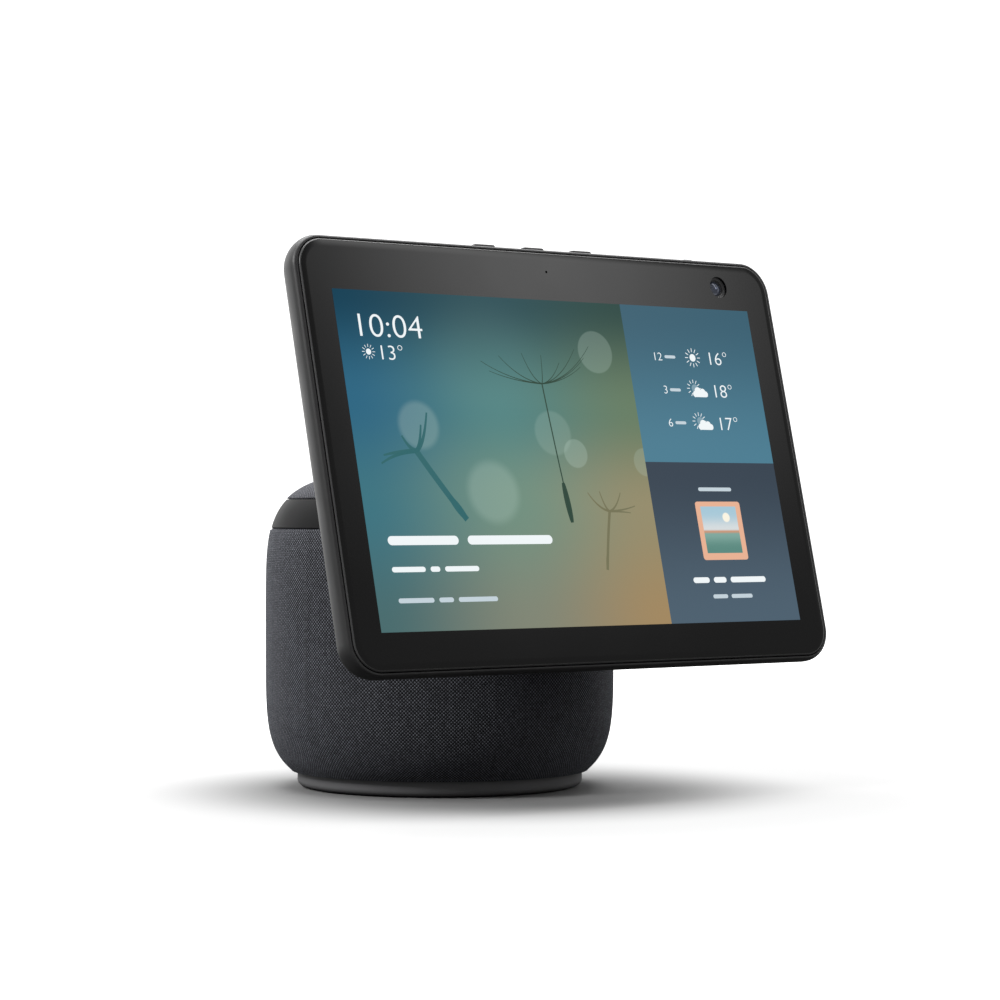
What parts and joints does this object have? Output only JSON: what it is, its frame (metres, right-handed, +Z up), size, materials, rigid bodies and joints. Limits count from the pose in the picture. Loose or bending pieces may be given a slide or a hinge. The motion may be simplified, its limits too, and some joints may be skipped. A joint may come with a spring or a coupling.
{
  "type": "smart display",
  "caption": "Round cloth-covered speaker base with a collar that turns a touch screen on a tilting neck.",
  "frame": {"origin": "on the table, at the middle of the foot's lower face, on the axis that the screen turns about", "axes": "+Z up, +X to the viewer's right along the screen's width, -Y the way the screen faces at rest"},
  "size_m": [0.25, 0.1865, 0.2262],
  "materials": {
    "foot_rubber": "matte rubber sheet",
    "foot_plastic": "satin moulded plastic",
    "steel": "turned and plated steel",
    "inner_plastic": "moulded plastic under the cloth",
    "base_cloth": "fine knitted acoustic cloth, charcoal",
    "cap_cloth": "fine knitted acoustic cloth, charcoal",
    "speaker_metal": "black-coated steel",
    "speaker_rubber": "soft half roll",
    "cone_paper": "pressed cone",
    "copper": "enamelled copper winding",
    "circuit_board": "solder-masked board",
    "aluminium": "die-cast and pressed aluminium",
    "inlet_plastic": "black moulded plastic",
    "gear_plastic": "natural acetal",
    "cable_rubber": "sleeved cable",
    "collar_plastic": "satin moulded plastic, charcoal",
    "spring_brass": "spring washer",
    "housing_plastic": "satin moulded plastic, charcoal",
    "white_film": "diffuser stack",
    "panel": "lit display panel",
    "tape": "black foam tape",
    "black_glass": "black-printed cover glass",
    "camera_body": "black lens barrel",
    "lens_glass": "coated lens",
    "button_plastic": "satin moulded plastic",
    "shutter_plastic": "satin moulded plastic"
  },
  "bodies": {
    "base": {"foot_pad": "foot_rubber", "foot_shell": "foot_plastic", "ballast_plate": "steel", "foot_screws": "steel", "base_shell": "inner_plastic", "base_fabric": "base_cloth", "sound_deflector": "inner_plastic", "woofer_chamber": "inner_plastic", "woofer_basket": "speaker_metal", "woofer_magnet": "speaker_metal", "woofer_surround": "speaker_rubber", "woofer_screws": "steel", "tweeter_baffle": "inner_plastic", "left_tweeter": "speaker_metal", "right_tweeter": "speaker_metal", "power_board": "circuit_board", "amplifier_board": "circuit_board", "amplifier_heat_sink": "aluminium", "power_inlet": "inlet_plastic", "inlet_bezel": "inlet_plastic", "motor_deck": "aluminium", "deck_screws": "steel", "pan_motor": "speaker_metal", "spindle": "steel", "glide_ring": "gear_plastic", "retaining_clip": "steel", "spindle_cable": "cable_rubber"},
    "woofer_cone": {"woofer_cone": "cone_paper", "woofer_coil": "copper"},
    "pinion": {"motor_shaft": "steel", "motor_pinion": "gear_plastic"},
    "turntable": {"turntable": "inner_plastic", "ring_gear": "gear_plastic", "hub_bush": "gear_plastic", "collar_band": "collar_plastic", "top_shell": "inner_plastic", "top_fabric": "cap_cloth", "hinge_arm": "aluminium", "arm_screws": "steel", "neck_cover": "collar_plastic", "hinge_pin": "steel", "friction_washers": "spring_brass"},
    "screen": {"rear_housing": "housing_plastic", "mid_frame": "aluminium", "frame_screws": "steel", "backlight_plate": "white_film", "lcd_panel": "panel", "adhesive_frame": "tape", "cover_glass": "black_glass", "heat_spreader": "aluminium", "main_board": "circuit_board", "hinge_plate": "aluminium", "hinge_bushes": "gear_plastic", "button_board": "circuit_board", "camera_module": "camera_body", "camera_lens": "lens_glass"},
    "volume_down_button": {"volume_down_button": "button_plastic"},
    "volume_up_button": {"volume_up_button": "button_plastic"},
    "microphone_button": {"microphone_button": "button_plastic"},
    "camera_shutter": {"camera_shutter": "shutter_plastic"}
  },
  "joints": [
    {"name": "pan", "type": "hinge", "parent": "base", "child": "turntable", "pos_m": [0, 0, 0.116], "axis": [0, 0, 1], "range_deg": [-175, 175]},
    {"name": "pinion_spin", "type": "hinge", "parent": "base", "child": "pinion", "pos_m": [0, 0.045, 0.11], "axis": [0, 0, 1], "range_deg": [-705, 705]},
    {"name": "tilt", "type": "hinge", "parent": "turntable", "child": "screen", "pos_m": [0, -0.077, 0.116], "axis": [-1, 0, 0], "range_deg": [-14, 26]},
    {"name": "volume_down_press", "type": "slide", "parent": "screen", "child": "volume_down_button", "axis": [0, -0.2419, -0.9703], "range_m": [0, 0.0005], "stiffness_N_per_m": 900, "springref_m": -0.0005},
    {"name": "volume_up_press", "type": "slide", "parent": "screen", "child": "volume_up_button", "axis": [0, -0.2419, -0.9703], "range_m": [0, 0.0005], "stiffness_N_per_m": 900, "springref_m": -0.0005},
    {"name": "microphone_press", "type": "slide", "parent": "screen", "child": "microphone_button", "axis": [0, -0.2419, -0.9703], "range_m": [0, 0.0005], "stiffness_N_per_m": 900, "springref_m": -0.0005},
    {"name": "shutter_slide", "type": "slide", "parent": "screen", "child": "camera_shutter", "axis": [1, 0, 0], "range_m": [0, 0.0095]},
    {"name": "cone_travel", "type": "slide", "parent": "base", "child": "woofer_cone", "axis": [0, 0, 1], "range_m": [-0.003, 0.003], "stiffness_N_per_m": 2500}
  ],
  "couplings": [
    {"joint": "pinion_spin", "follows": "pan", "ratio": -4}
  ]
}
